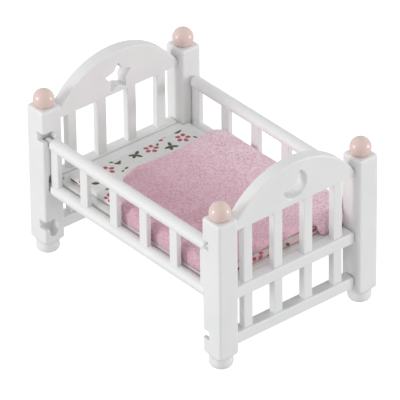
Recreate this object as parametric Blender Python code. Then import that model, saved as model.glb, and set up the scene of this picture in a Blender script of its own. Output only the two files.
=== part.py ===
"""Doll's-house cot: four posts with ball knobs, two slatted end panels, a fixed far side rail,
a near side rail that lifts and folds down, a bed base, a mattress and a thick blanket.

Frame: origin on the floor under the middle of the cot, +X from the head to the foot,
near side (folding rail) at -Y, +Z up. Lengths are in metres.
"""

import math

import bmesh
import bpy
from mathutils import Matrix, Vector

MM = 0.001

# Driving dimensions
POST_AXIS_X = 41.0 * MM
POST_AXIS_Y = 27.1 * MM
POST_X = 8.0 * MM
POST_Y = 7.0 * MM
POST_BOTTOM = 3.4 * MM
POST_TOP = 51.3 * MM
POST_EDGE = 0.8 * MM
FOOT_RADIUS = 3.68 * MM

KNOB_RADIUS = 3.31 * MM
KNOB_CENTRE_Z = 53.45 * MM
SPIGOT_RADIUS = 1.3 * MM
SPIGOT_LENGTH = 3.5 * MM

GAP = 0.2 * MM
REACH = 1.0 * MM

PANEL_THICK = 4.2 * MM
SLAT_THICK = 2.4 * MM
PANEL_END_Y = POST_AXIS_Y - POST_Y / 2 - GAP
ARCH_CENTRE_Z = 32.9 * MM
ARCH_RADIUS = 27.45 * MM
ARCH_BOTTOM = 45.8 * MM
ARCH_END_RADIUS = 1.2 * MM
MID_RAIL_Z = (22.0 * MM, 25.9 * MM)
LOW_RAIL_Z = (6.0 * MM, 9.9 * MM)
PANEL_SLAT_WIDTH = 3.4 * MM
PANEL_SLAT_PITCH = 11.6 * MM
TENON_THICK = 2.2 * MM
TENON_HEIGHT = 1.6 * MM
TENON_LENGTH = 2.2 * MM
ARCH_TENON_Z = 47.1 * MM
PANEL_EDGE_ROUND = 0.4 * MM
SLAT_EDGE_ROUND = 0.3 * MM

STAR_CENTRE = (0.0, 51.0 * MM)
STAR_TIP_RADIUS = 5.2 * MM
STAR_NOTCH_RADIUS = 2.9 * MM
MOON_CENTRE = (-0.25 * MM, 52.65 * MM)
MOON_RADIUS = 4.6 * MM
MOON_BITE_CENTRE = (-2.6 * MM, 55.2 * MM)
MOON_BITE_RADIUS = 4.1 * MM
MOON_TIP_TRIM = 12.0
STAR_TIP_ROUND = 0.4 * MM

RAIL_AXIS_Y = 27.6 * MM
BAR_RADIUS = 2.0 * MM
BAR_END_X = POST_AXIS_X - POST_X / 2 - 0.3 * MM
BAR_END_ROUND = 1.3 * MM
TOP_BAR_Z = 39.8 * MM
LOW_BAR_Z = 23.8 * MM
RAIL_SLAT_WIDTH = 3.5 * MM
RAIL_SLAT_THICK = 1.8 * MM
RAIL_SLAT_PITCH = 14.0 * MM
PIN_RADIUS = 1.1 * MM
PIN_REACH = 2.6 * MM
PIN_BORE_DEPTH = 2.4 * MM
PIN_END_ROUND = 0.3 * MM
BORE_END_ROUND = 0.1 * MM

SLOT_HALF = 1.5 * MM
SLOT_DEPTH = 3.0 * MM
SLOT_FLOOR_GAP = 0.3 * MM
UPPER_CHANNEL_Z = 42.4 * MM
LOWER_CHANNEL_Z = 10.9 * MM
MID_SLOT_TOP = 29.0 * MM
LIP_ROUND = 0.5 * MM

BASE_TOP = 25.6 * MM
BASE_PLATE = 1.6 * MM
BASE_SKIRT_BOTTOM = 22.6 * MM
BASE_SKIRT_THICK = 1.4 * MM
BASE_EDGE_ROUND = 0.5 * MM
BASE_HALF_X = POST_AXIS_X - PANEL_THICK / 2 - GAP
BASE_HALF_Y = 25.3 * MM
LUG_WIDTH = 6.0 * MM
LUG_HEIGHT = 1.4 * MM
LUG_LENGTH = 1.8 * MM
LUG_Y = 11.6 * MM
LUG_Z = 24.1 * MM

MATTRESS_X = (-33.0 * MM, 36.2 * MM)
MATTRESS_Y = (-23.7 * MM, 22.2 * MM)
MATTRESS_Z = (BASE_TOP + GAP, 28.3 * MM)
MATTRESS_CORNER = 3.0 * MM
COVER_THICK = 0.35 * MM
COVER_MOUTH = 24.0 * MM
MOUTH_HALF_HEIGHT = 0.3 * MM

BLANKET_NEAR_Y = -25.2 * MM
BLANKET_FOOT_X = 36.6 * MM
BLANKET_CORNERS = [
    (BLANKET_FOOT_X, BLANKET_NEAR_Y),
    (BLANKET_FOOT_X, 24.9 * MM),
    (-23.4 * MM, 24.9 * MM),
    (-22.3 * MM, -9.0 * MM),
    (-8.0 * MM, BLANKET_NEAR_Y),
]
BLANKET_Z = (MATTRESS_Z[1] + GAP, 31.9 * MM)
BLANKET_CORNER_ROUND = 4.0 * MM
BLANKET_EDGE_ROUND = 1.2 * MM
DRAPE_EDGE_ROUND = 0.5 * MM
DRAPE_X = (-6.0 * MM, 32.4 * MM)
DRAPE_INNER_Y = MATTRESS_Y[0] - GAP
DRAPE_BOTTOM = BASE_TOP + GAP

MATERIALS = {
    "white_plastic": ((0.86, 0.86, 0.84, 1.0), 0.32),
    "pink_plastic": ((0.76, 0.52, 0.47, 1.0), 0.14),
    "printed_cotton": ((0.84, 0.82, 0.78, 1.0), 0.85),
    "wadding": ((0.92, 0.92, 0.90, 1.0), 0.95),
    "pink_fleece": ((0.68, 0.36, 0.44, 1.0), 0.95),
}


def clear_scene():
    for obj in list(bpy.data.objects):
        bpy.data.objects.remove(obj, do_unlink=True)


def material(name):
    found = bpy.data.materials.get(name)
    if found:
        return found
    colour, roughness = MATERIALS[name]
    made = bpy.data.materials.new(name)
    made.use_nodes = True
    shader = made.node_tree.nodes["Principled BSDF"]
    shader.inputs["Base Color"].default_value = colour
    shader.inputs["Roughness"].default_value = roughness
    shader.inputs["Metallic"].default_value = 0.0
    return made


def add_object(name, bm, material_name=None):
    """Make an object of the bmesh. With no material it is a hidden helper."""
    bmesh.ops.recalc_face_normals(bm, faces=bm.faces)
    mesh = bpy.data.meshes.new(name)
    bm.to_mesh(mesh)
    bm.free()
    obj = bpy.data.objects.new(name, mesh)
    bpy.context.scene.collection.objects.link(obj)
    if material_name:
        mesh.materials.append(material(material_name))
        mesh.shade_smooth()
        mesh.set_sharp_from_angle(angle=math.radians(35))
    else:
        obj.hide_render = True
        obj.display_type = "WIRE"
    return obj


def boolean(obj, helper, operation):
    modifier = obj.modifiers.new(helper.name, "BOOLEAN")
    modifier.operation = operation
    modifier.solver = "EXACT"
    modifier.object = helper


def join(obj, helper):
    boolean(obj, helper, "UNION")


def cut(obj, helper):
    boolean(obj, helper, "DIFFERENCE")


def box_bmesh(low, high, radius=0.0, segments=2, edges="all"):
    """A box between two corners, with its edges rounded: all of them, or only the upright ones."""
    bm = bmesh.new()
    bmesh.ops.create_cube(bm, size=1.0)
    size = Vector(high) - Vector(low)
    centre = (Vector(high) + Vector(low)) / 2
    bmesh.ops.scale(bm, vec=size, verts=bm.verts)
    if radius:
        chosen = [e for e in bm.edges if edges == "all" or is_upright(e)]
        bmesh.ops.bevel(
            bm, geom=chosen, offset=radius, segments=segments, profile=0.5, affect="EDGES"
        )
    bmesh.ops.translate(bm, vec=centre, verts=bm.verts)
    return bm


def is_upright(edge):
    along = edge.verts[1].co - edge.verts[0].co
    return abs(along.z) > 0.9 * along.length


def prism_bmesh(outline, low_x, high_x, edge_radius=0.0, segments=2):
    """Extrude an outline of (y, z) points from low_x to high_x, with its rim edges rounded."""
    bm = bmesh.new()
    verts = [bm.verts.new((low_x, y, z)) for y, z in outline]
    face = bm.faces.new(verts)
    grown = bmesh.ops.extrude_face_region(bm, geom=[face])
    moved = [v for v in grown["geom"] if isinstance(v, bmesh.types.BMVert)]
    bmesh.ops.translate(bm, vec=(high_x - low_x, 0.0, 0.0), verts=moved)
    if edge_radius:
        rim = [e for e in bm.edges if abs(e.verts[0].co.x - e.verts[1].co.x) < 1e-7]
        bmesh.ops.bevel(
            bm, geom=rim, offset=edge_radius, segments=segments, profile=0.5, affect="EDGES"
        )
    return bm


def arc(centre, radius, start, end, steps):
    """Points on a circle from the start to the end angle, in degrees."""
    angles = [math.radians(start + (end - start) * i / steps) for i in range(steps + 1)]
    return [(centre[0] + radius * math.cos(a), centre[1] + radius * math.sin(a)) for a in angles]


def turned_bmesh(profile, segments):
    """Turn a profile of (radius, z) points, bottom to top, about Z. Its ends lie on the axis."""
    bm = bmesh.new()
    verts = [bm.verts.new((r, 0.0, z)) for r, z in profile]
    edges = [bm.edges.new(pair) for pair in zip(verts, verts[1:])]
    bmesh.ops.spin(
        bm,
        geom=verts + edges,
        cent=(0.0, 0.0, 0.0),
        axis=(0.0, 0.0, 1.0),
        angle=math.tau,
        steps=segments,
        use_merge=True,
    )
    bmesh.ops.remove_doubles(bm, verts=bm.verts, dist=0.001 * MM)
    return bm


def rod_bmesh(start_x, end_x, radius, end_round, centre_y, centre_z, segments=24):
    """A round bar along X, with both of its ends rounded."""
    half = (end_x - start_x) / 2
    low = arc((radius - end_round, -half + end_round), end_round, -90, 0, 3)
    high = arc((radius - end_round, half - end_round), end_round, 0, 90, 3)
    bm = turned_bmesh([(0.0, -half)] + low + high + [(0.0, half)], segments)
    turn = Matrix.Rotation(math.radians(90), 4, "Y")
    place = Matrix.Translation(((start_x + end_x) / 2, centre_y, centre_z))
    bmesh.ops.transform(bm, matrix=place @ turn, verts=bm.verts)
    return bm


def round_corners(corners, radius, steps=3):
    """The outline through the corners, with each corner replaced by an arc-like fillet."""
    outline = []
    count = len(corners)
    for i, corner in enumerate(corners):
        here = Vector(corner)
        back = (Vector(corners[i - 1]) - here).normalized()
        ahead = (Vector(corners[(i + 1) % count]) - here).normalized()
        start = here + back * radius
        end = here + ahead * radius
        for step in range(steps + 1):
            t = step / steps
            point = start * (1 - t) ** 2 + here * 2 * t * (1 - t) + end * t**2
            outline.append((point.x, point.y))
    return outline


# Posts


def foot_profile():
    return [
        (0.0, 0.0),
        (2.9 * MM, 0.0),
        (3.3 * MM, 0.25 * MM),
        (3.57 * MM, 0.85 * MM),
        (FOOT_RADIUS, 1.6 * MM),
        (3.62 * MM, 2.5 * MM),
        (3.42 * MM, POST_BOTTOM),
        (3.38 * MM, POST_BOTTOM + REACH),
        (0.0, POST_BOTTOM + REACH),
    ]


def hook_outline(outer_y, channel_z, pin_rest_z):
    """A channel in from the outer face, then a slot down to where the pin rests."""
    slot_y = -RAIL_AXIS_Y
    floor_z = pin_rest_z - PIN_RADIUS - SLOT_FLOOR_GAP + SLOT_HALF
    lip = (slot_y - SLOT_HALF, channel_z - SLOT_HALF)
    outline = [(outer_y, channel_z + SLOT_HALF)]
    outline += arc((slot_y, channel_z), SLOT_HALF, 90, 0, 4)
    outline += arc((slot_y, floor_z), SLOT_HALF, 0, -180, 8)
    outline += arc((lip[0] - LIP_ROUND, lip[1] - LIP_ROUND), LIP_ROUND, 0, 90, 3)
    outline += [(outer_y, channel_z - SLOT_HALF)]
    return outline


def closed_slot_outline():
    low = LOW_BAR_Z - PIN_RADIUS - SLOT_FLOOR_GAP + SLOT_HALF
    high = MID_SLOT_TOP - SLOT_HALF
    return arc((-RAIL_AXIS_Y, high), SLOT_HALF, 180, 0, 8) + arc(
        (-RAIL_AXIS_Y, low), SLOT_HALF, 0, -180, 8
    )


def cut_rail_slots(post, end):
    """The near posts hold the folding rail: two open hooks and, between them, a closed slot."""
    outer_y = -(POST_AXIS_Y + POST_Y / 2) - REACH
    inner_x = POST_AXIS_X - POST_X / 2
    fold_pin_z = 2 * LOW_BAR_Z - TOP_BAR_Z
    outlines = {
        "upper_hook": hook_outline(outer_y, UPPER_CHANNEL_Z, TOP_BAR_Z),
        "pivot_slot": closed_slot_outline(),
        "lower_hook": hook_outline(outer_y, LOWER_CHANNEL_Z, fold_pin_z),
    }
    for name, outline in outlines.items():
        xs = sorted((end * (inner_x - REACH), end * (inner_x + SLOT_DEPTH)))
        helper = add_object(post.name + "_" + name, prism_bmesh(outline, xs[0], xs[1]))
        cut(post, helper)


def cut_spigot_holes(post, end):
    """The far posts hold the fixed rail's four spigots."""
    inner_x = POST_AXIS_X - POST_X / 2
    for name, z in (("top", TOP_BAR_Z), ("low", LOW_BAR_Z)):
        xs = sorted((end * (inner_x - REACH), end * (inner_x + PIN_REACH)))
        hole = rod_bmesh(xs[0], xs[1], PIN_RADIUS + GAP, BORE_END_ROUND, RAIL_AXIS_Y, z, 16)
        cut(post, add_object(post.name + "_spigot_hole_" + name, hole))


def tenon_levels():
    return (sum(LOW_RAIL_Z) / 2, sum(MID_RAIL_Z) / 2, ARCH_TENON_Z)


def tenon_box(end, side, z, slack):
    """The tenon of a panel at one level, or with slack the socket that takes it."""
    x = end * POST_AXIS_X
    ys = sorted((side * (PANEL_END_Y - REACH), side * (PANEL_END_Y + TENON_LENGTH + slack)))
    low = (x - TENON_THICK / 2 - slack, ys[0], z - TENON_HEIGHT / 2 - slack)
    high = (x + TENON_THICK / 2 + slack, ys[1], z + TENON_HEIGHT / 2 + slack)
    return box_bmesh(low, high)


def ring_points(half_x, half_y, corner, steps=3):
    """A rectangle with rounded corners, as (x, y) points."""
    points = []
    for quarter, (sx, sy) in enumerate(((1, 1), (-1, 1), (-1, -1), (1, -1))):
        centre = (sx * (half_x - corner), sy * (half_y - corner))
        points += arc(centre, corner, 90 * quarter, 90 * quarter + 90, steps)
    return points


def loft_bmesh(sections):
    """Join rings of (z, points), bottom to top, and close both ends."""
    bm = bmesh.new()
    rings = [[bm.verts.new((x, y, z)) for x, y in points] for z, points in sections]
    for low, high in zip(rings, rings[1:]):
        for i in range(len(low)):
            j = (i + 1) % len(low)
            bm.faces.new((low[i], low[j], high[j], high[i]))
    bm.faces.new(rings[-1])
    bm.faces.new(reversed(rings[0]))
    return bm


def post_sections():
    """The post's outline, drawn in at its foot and rounded over at its top."""
    insets = [
        (POST_BOTTOM, 0.9 * MM),
        (POST_BOTTOM + 0.5 * MM, 0.3 * MM),
        (POST_BOTTOM + 1.0 * MM, 0.0),
        (POST_TOP - 0.7 * MM, 0.0),
        (POST_TOP - 0.25 * MM, 0.15 * MM),
        (POST_TOP, 0.6 * MM),
    ]
    sections = []
    for z, inset in insets:
        corner = max(POST_EDGE - 0.5 * inset, 0.3 * MM)
        sections.append((z, ring_points(POST_X / 2 - inset, POST_Y / 2 - inset, corner)))
    return sections


def make_post(name, end, side):
    bm = loft_bmesh(post_sections())
    place = Matrix.Translation((end * POST_AXIS_X, side * POST_AXIS_Y, 0.0))
    bmesh.ops.transform(bm, matrix=place, verts=bm.verts)
    post = add_object(name, bm, "white_plastic")
    foot = turned_bmesh(foot_profile(), 24)
    bmesh.ops.transform(foot, matrix=place, verts=foot.verts)
    join(post, add_object(name + "_foot_form", foot))
    hole_profile = [
        (0.0, POST_TOP - SPIGOT_LENGTH - GAP),
        (SPIGOT_RADIUS + GAP, POST_TOP - SPIGOT_LENGTH - GAP),
        (SPIGOT_RADIUS + GAP, POST_TOP + REACH),
        (0.0, POST_TOP + REACH),
    ]
    hole = turned_bmesh(hole_profile, 16)
    bmesh.ops.transform(hole, matrix=place, verts=hole.verts)
    cut(post, add_object(name + "_knob_hole", hole))
    for i, z in enumerate(tenon_levels()):
        socket = add_object("{}_socket_{}".format(name, i), tenon_box(end, side, z, GAP))
        cut(post, socket)
    if side < 0:
        cut_rail_slots(post, end)
    else:
        cut_spigot_holes(post, end)


def make_knob(name, end, side):
    """A ball with a flat seat just above the post's top, and a spigot down into the post."""
    seat_z = POST_TOP + GAP - KNOB_CENTRE_Z
    seat_angle = math.degrees(math.asin(seat_z / KNOB_RADIUS))
    profile = [(0.0, seat_z - GAP - SPIGOT_LENGTH)]
    profile += [(SPIGOT_RADIUS, seat_z - GAP - SPIGOT_LENGTH), (SPIGOT_RADIUS, seat_z)]
    ball = arc((0.0, 0.0), KNOB_RADIUS, seat_angle, 90, 12)
    profile += ball[:-1] + [(0.0, KNOB_RADIUS)]
    bm = turned_bmesh(profile, 28)
    place = Matrix.Translation((end * POST_AXIS_X, side * POST_AXIS_Y, KNOB_CENTRE_Z))
    bmesh.ops.transform(bm, matrix=place, verts=bm.verts)
    add_object(name, bm, "pink_plastic")


# End panels


def arch_outline():
    end_angle = math.degrees(math.acos(PANEL_END_Y / ARCH_RADIUS))
    curve = arc((0.0, ARCH_CENTRE_Z), ARCH_RADIUS, end_angle, 180 - end_angle, 28)
    left = (-PANEL_END_Y, ARCH_BOTTOM)
    right = (PANEL_END_Y, ARCH_BOTTOM)
    corner = ARCH_END_RADIUS
    outline = curve
    outline += arc((left[0] + corner, left[1] + corner), corner, 180, 270, 3)
    outline += arc((right[0] - corner, right[1] + corner), corner, 270, 360, 3)
    return outline


def rail_outline(levels):
    corners = [
        (-PANEL_END_Y, levels[0]),
        (PANEL_END_Y, levels[0]),
        (PANEL_END_Y, levels[1]),
        (-PANEL_END_Y, levels[1]),
    ]
    return round_corners(corners, 0.9 * MM)


def star_outline():
    corners = []
    for i in range(10):
        radius = STAR_TIP_RADIUS if i % 2 == 0 else STAR_NOTCH_RADIUS
        angle = math.radians(90 + 36 * i)
        y = STAR_CENTRE[0] + radius * math.cos(angle)
        z = STAR_CENTRE[1] + radius * math.sin(angle)
        corners.append((y, z))
    return round_corners(corners, STAR_TIP_ROUND, steps=2)


def moon_outline():
    """A crescent: the outer circle less the bite, between the points where the two meet."""
    centre = Vector(MOON_CENTRE)
    bite = Vector(MOON_BITE_CENTRE)
    between = bite - centre
    distance = between.length
    along = (MOON_RADIUS**2 - MOON_BITE_RADIUS**2 + distance**2) / (2 * distance)
    turn = math.degrees(math.acos(along / MOON_RADIUS))
    heading = math.degrees(math.atan2(between.y, between.x))
    back_turn = math.degrees(math.acos((distance - along) / MOON_BITE_RADIUS))
    outer_start = heading + turn + MOON_TIP_TRIM
    outer_end = heading + 360 - turn - MOON_TIP_TRIM
    outer = arc(centre, MOON_RADIUS, outer_start, outer_end, 24)
    inner_start = heading + 180 + back_turn - MOON_TIP_TRIM
    inner_end = heading + 180 - back_turn + MOON_TIP_TRIM
    return outer + arc(bite, MOON_BITE_RADIUS, inner_start, inner_end, 14)


def lug_box(end, y, slack):
    """A lug of the base, or with slack the pocket in the mid rail that takes it."""
    near_x = BASE_HALF_X - REACH
    far_x = BASE_HALF_X + LUG_LENGTH + slack
    xs = sorted((end * near_x, end * far_x))
    low = (xs[0], y - LUG_WIDTH / 2 - slack, LUG_Z - LUG_HEIGHT / 2 - slack)
    high = (xs[1], y + LUG_WIDTH / 2 + slack, LUG_Z + LUG_HEIGHT / 2 + slack)
    return box_bmesh(low, high)


def make_panel(name, end, opening):
    x = end * POST_AXIS_X
    low_x = x - PANEL_THICK / 2
    high_x = x + PANEL_THICK / 2
    panel = add_object(name, prism_bmesh(arch_outline(), low_x, high_x, PANEL_EDGE_ROUND), "white_plastic")
    for label, levels in (("mid_rail", MID_RAIL_Z), ("low_rail", LOW_RAIL_Z)):
        rail = prism_bmesh(rail_outline(levels), low_x, high_x, PANEL_EDGE_ROUND)
        join(panel, add_object(name + "_" + label, rail))
    for i in range(4):
        y = (i - 1.5) * PANEL_SLAT_PITCH
        low = (x - SLAT_THICK / 2, y - PANEL_SLAT_WIDTH / 2, LOW_RAIL_Z[1] - REACH)
        high = (x + SLAT_THICK / 2, y + PANEL_SLAT_WIDTH / 2, ARCH_BOTTOM + REACH)
        slat = box_bmesh(low, high, radius=SLAT_EDGE_ROUND, edges="upright")
        join(panel, add_object("{}_slat_{}".format(name, i), slat))
    for i, z in enumerate(tenon_levels()):
        for side in (-1, 1):
            tenon = tenon_box(end, side, z, 0.0)
            join(panel, add_object("{}_tenon_{}_{}".format(name, i, side), tenon))
    through = prism_bmesh(opening, low_x - REACH, high_x + REACH)
    cut(panel, add_object(name + "_opening", through))
    for side in (-1, 1):
        pocket = lug_box(end, side * LUG_Y, GAP)
        cut(panel, add_object("{}_pocket_{}".format(name, side), pocket))


# Side rails


def make_rail(name, side):
    y = side * RAIL_AXIS_Y
    rail = add_object(
        name,
        rod_bmesh(-BAR_END_X, BAR_END_X, BAR_RADIUS, BAR_END_ROUND, y, TOP_BAR_Z),
        "white_plastic",
    )
    bar = rod_bmesh(-BAR_END_X, BAR_END_X, BAR_RADIUS, BAR_END_ROUND, y, LOW_BAR_Z)
    join(rail, add_object(name + "_low_bar", bar))
    for i in range(6):
        x = (i - 2.5) * RAIL_SLAT_PITCH
        low = (x - RAIL_SLAT_WIDTH / 2, y - RAIL_SLAT_THICK / 2, LOW_BAR_Z + REACH / 2)
        high = (x + RAIL_SLAT_WIDTH / 2, y + RAIL_SLAT_THICK / 2, TOP_BAR_Z - REACH / 2)
        slat = box_bmesh(low, high, radius=SLAT_EDGE_ROUND, edges="upright")
        join(rail, add_object("{}_slat_{}".format(name, i), slat))
    spigot_levels = (TOP_BAR_Z,) if side < 0 else (TOP_BAR_Z, LOW_BAR_Z)
    for end in (-1, 1):
        for z in spigot_levels:
            xs = sorted((end * (BAR_END_X - REACH), end * (BAR_END_X + PIN_REACH)))
            spigot = rod_bmesh(xs[0], xs[1], PIN_RADIUS, PIN_END_ROUND, y, z, 16)
            join(rail, add_object("{}_spigot_{}_{:.0f}".format(name, end, z / MM), spigot))
        if side < 0:
            xs = sorted((end * (BAR_END_X - PIN_BORE_DEPTH), end * (BAR_END_X + REACH)))
            bore = rod_bmesh(xs[0], xs[1], PIN_RADIUS + GAP, BORE_END_ROUND, y, LOW_BAR_Z, 16)
            cut(rail, add_object("{}_bore_{}".format(name, end), bore))
    if side < 0:
        set_origin(rail, (0.0, -RAIL_AXIS_Y, LOW_BAR_Z))


def set_origin(obj, place):
    """Move the object's origin onto its joint's axis, and leave its shape where it is."""
    shift = Vector(place)
    obj.data.transform(Matrix.Translation(-shift))
    obj.location = shift


def make_pin(name, end):
    inner = BAR_END_X - PIN_BORE_DEPTH + GAP
    xs = sorted((end * inner, end * (BAR_END_X + PIN_REACH)))
    bm = rod_bmesh(xs[0], xs[1], PIN_RADIUS, PIN_END_ROUND, -RAIL_AXIS_Y, LOW_BAR_Z, 16)
    set_origin(add_object(name, bm, "white_plastic"), (0.0, -RAIL_AXIS_Y, LOW_BAR_Z))


# Bed base


def make_base():
    """A plate with a skirt round its rim. Its corners are notched for the posts."""
    bm = box_bmesh(
        (-BASE_HALF_X, -BASE_HALF_Y, BASE_SKIRT_BOTTOM),
        (BASE_HALF_X, BASE_HALF_Y, BASE_TOP),
    )
    rim = [e for e in bm.edges if all(v.co.z > BASE_TOP - 1e-6 for v in e.verts)]
    bmesh.ops.bevel(bm, geom=rim, offset=BASE_EDGE_ROUND, segments=3, profile=0.5, affect="EDGES")
    base = add_object("bed_base", bm, "white_plastic")
    notch_x = POST_AXIS_X - POST_X / 2 - GAP
    notch_y = POST_AXIS_Y - POST_Y / 2 - GAP
    for end in (-1, 1):
        for side in (-1, 1):
            xs = sorted((end * notch_x, end * (BASE_HALF_X + REACH)))
            ys = sorted((side * notch_y, side * (BASE_HALF_Y + REACH)))
            low = (xs[0], ys[0], BASE_SKIRT_BOTTOM - REACH)
            high = (xs[1], ys[1], BASE_TOP + REACH)
            cut(base, add_object("base_notch_{}_{}".format(end, side), box_bmesh(low, high)))
    inner_x = notch_x - BASE_SKIRT_THICK
    inner_y = notch_y - BASE_SKIRT_THICK
    hollow = box_bmesh(
        (-inner_x, -inner_y, BASE_SKIRT_BOTTOM - REACH),
        (inner_x, inner_y, BASE_TOP - BASE_PLATE),
    )
    cut(base, add_object("base_hollow", hollow))
    for end in (-1, 1):
        for side in (-1, 1):
            lug = lug_box(end, side * LUG_Y, 0.0)
            join(base, add_object("base_lug_{}_{}".format(end, side), lug))


# Soft goods


def pad_bmesh(inset):
    """The mattress's form, made smaller all round by the inset."""
    low = (MATTRESS_X[0] + inset, MATTRESS_Y[0] + inset, MATTRESS_Z[0] + inset)
    high = (MATTRESS_X[1] - inset, MATTRESS_Y[1] - inset, MATTRESS_Z[1] - inset)
    corner = MATTRESS_CORNER - inset
    bm = box_bmesh(low, high, radius=corner, segments=5, edges="upright")
    thick = high[2] - low[2]
    for level in (low[2], high[2]):
        rim = [e for e in bm.edges if all(abs(v.co.z - level) < 1e-6 for v in e.verts)]
        bmesh.ops.bevel(bm, geom=rim, offset=0.3 * thick, segments=2, profile=0.5, affect="EDGES")
    return bm


def make_mattress():
    """A thin cotton bag, open along the middle of its head end, with a wadding pad in it."""
    cover = add_object("mattress_cover", pad_bmesh(0.0), "printed_cotton")
    cut(cover, add_object("cover_inside", pad_bmesh(COVER_THICK)))
    middle_y = sum(MATTRESS_Y) / 2
    middle_z = sum(MATTRESS_Z) / 2
    mouth = box_bmesh(
        (MATTRESS_X[0] - REACH, middle_y - COVER_MOUTH / 2, middle_z - MOUTH_HALF_HEIGHT),
        (MATTRESS_X[0] + REACH, middle_y + COVER_MOUTH / 2, middle_z + MOUTH_HALF_HEIGHT),
    )
    cut(cover, add_object("cover_mouth", mouth))
    add_object("mattress_pad", pad_bmesh(COVER_THICK + GAP), "wadding")


def make_blanket():
    """A thick blanket on the mattress, with a corner turned under. Its near edge hangs down."""
    outline = round_corners(BLANKET_CORNERS, BLANKET_CORNER_ROUND, steps=5)
    top = loft_bmesh([(BLANKET_Z[0], outline), (BLANKET_Z[1], outline)])
    rim = [e for e in top.edges if all(v.co.z > BLANKET_Z[1] - 1e-6 for v in e.verts)]
    bmesh.ops.bevel(top, geom=rim, offset=BLANKET_EDGE_ROUND, segments=3, profile=0.5, affect="EDGES")
    blanket = add_object("blanket", top, "pink_fleece")
    drape = box_bmesh(
        (DRAPE_X[0], BLANKET_NEAR_Y, DRAPE_BOTTOM),
        (DRAPE_X[1], DRAPE_INNER_Y, BLANKET_Z[0] + REACH),
        radius=DRAPE_EDGE_ROUND,
        edges="upright",
    )
    join(blanket, add_object("blanket_drape", drape))


def main():
    clear_scene()
    for end_name, end in (("head", -1), ("foot", 1)):
        for side_name, side in (("near", -1), ("far", 1)):
            make_post("post_{}_{}".format(end_name, side_name), end, side)
            make_knob("knob_{}_{}".format(end_name, side_name), end, side)
        make_pin("rail_pin_" + end_name, end)
    make_panel("headboard_panel", -1, star_outline())
    make_panel("footboard_panel", 1, moon_outline())
    make_rail("near_side_rail", -1)
    make_rail("far_side_rail", 1)
    make_base()
    make_mattress()
    make_blanket()


main()
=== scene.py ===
"""Looks of the doll's-house cot: moulded white plastic, polished pink knobs, printed cotton, fleece.

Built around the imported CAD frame. Lengths are in metres, +X runs from the head to the foot,
the folding rail is at -Y, and +Z is up.
"""

import math

import bmesh
import bpy
import numpy as np
from mathutils import Matrix, Vector, noise


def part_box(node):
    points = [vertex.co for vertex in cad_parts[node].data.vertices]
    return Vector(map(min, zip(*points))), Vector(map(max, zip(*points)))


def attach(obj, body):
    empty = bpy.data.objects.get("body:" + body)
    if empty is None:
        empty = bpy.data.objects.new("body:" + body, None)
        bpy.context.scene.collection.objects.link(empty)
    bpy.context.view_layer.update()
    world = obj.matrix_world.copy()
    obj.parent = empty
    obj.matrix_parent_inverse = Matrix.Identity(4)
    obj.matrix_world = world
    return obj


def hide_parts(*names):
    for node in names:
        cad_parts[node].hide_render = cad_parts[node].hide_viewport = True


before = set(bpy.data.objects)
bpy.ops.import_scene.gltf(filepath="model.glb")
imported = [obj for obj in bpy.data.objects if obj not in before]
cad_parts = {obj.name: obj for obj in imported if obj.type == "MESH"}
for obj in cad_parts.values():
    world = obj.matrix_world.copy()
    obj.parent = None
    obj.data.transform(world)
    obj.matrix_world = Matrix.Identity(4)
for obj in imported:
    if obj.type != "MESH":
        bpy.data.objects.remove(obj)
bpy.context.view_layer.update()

SCENE = bpy.context.scene
MM = 0.001

# Boxes read from the frame
POST_LOW, POST_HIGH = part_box("post_foot_far")
PANEL_LOW, PANEL_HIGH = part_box("footboard_panel")
RAIL_LOW, RAIL_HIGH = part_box("near_side_rail")
PIN_LOW, PIN_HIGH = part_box("rail_pin_foot")
BASE_LOW, BASE_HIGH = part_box("bed_base")
MATTRESS_LOW, MATTRESS_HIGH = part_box("mattress_cover")
BLANKET_LOW, BLANKET_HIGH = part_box("blanket")
KNOB_LOW, KNOB_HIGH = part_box("knob_foot_far")

# The clearance between pieces, and how far a cutter or a joining end goes past a face
GAP = 0.2 * MM
REACH = 1.0 * MM

# Posts. The foot's profile is (radius, z), and the neck's steps are (rise, roundness), in millimetres.
POST_AXIS = (POST_LOW + POST_HIGH) / 2
POST_HALF_X = (POST_HIGH.x - POST_LOW.x) / 2
POST_HALF_Y = (POST_HIGH.y - POST_LOW.y) / 2
POST_TOP = POST_HIGH.z
POST_SHANK = 3.4 * MM
POST_CORNER = 0.85 * MM
POST_CROWN = 0.75 * MM
CROWN_STEPS = 6
CROWN_SHARPENING = 0.55
NECK_RADIUS = 3.42 * MM
FOOT_PROFILE = [
    (2.6, 0.0), (2.95, 0.05), (3.25, 0.25), (3.5, 0.65), (3.64, 1.15),
    (3.68, 1.6), (3.65, 2.1), (3.57, 2.6), (3.47, 3.0), (3.41, 3.3),
]
NECK_STEPS = [(0.0, 0.97), (0.2, 0.86), (0.45, 0.66), (0.75, 0.4), (1.05, 0.17), (1.35, 0.04), (1.6, 0.0)]
HALVINGS = 40
CORNER_TURNS = (-22, -11.5, -8, -5.5, -3.5, -1.5, 0.5, 2.5, 4.5, 7.5, 11.5, 22)

# Knobs
KNOB_RADIUS = (KNOB_HIGH.x - KNOB_LOW.x) / 2
KNOB_CENTRE_Z = KNOB_HIGH.z - KNOB_RADIUS
SEAT_RISE = 0.06 * MM
SPIGOT_RADIUS = 1.3 * MM
SPIGOT_LENGTH = 3.0 * MM

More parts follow.
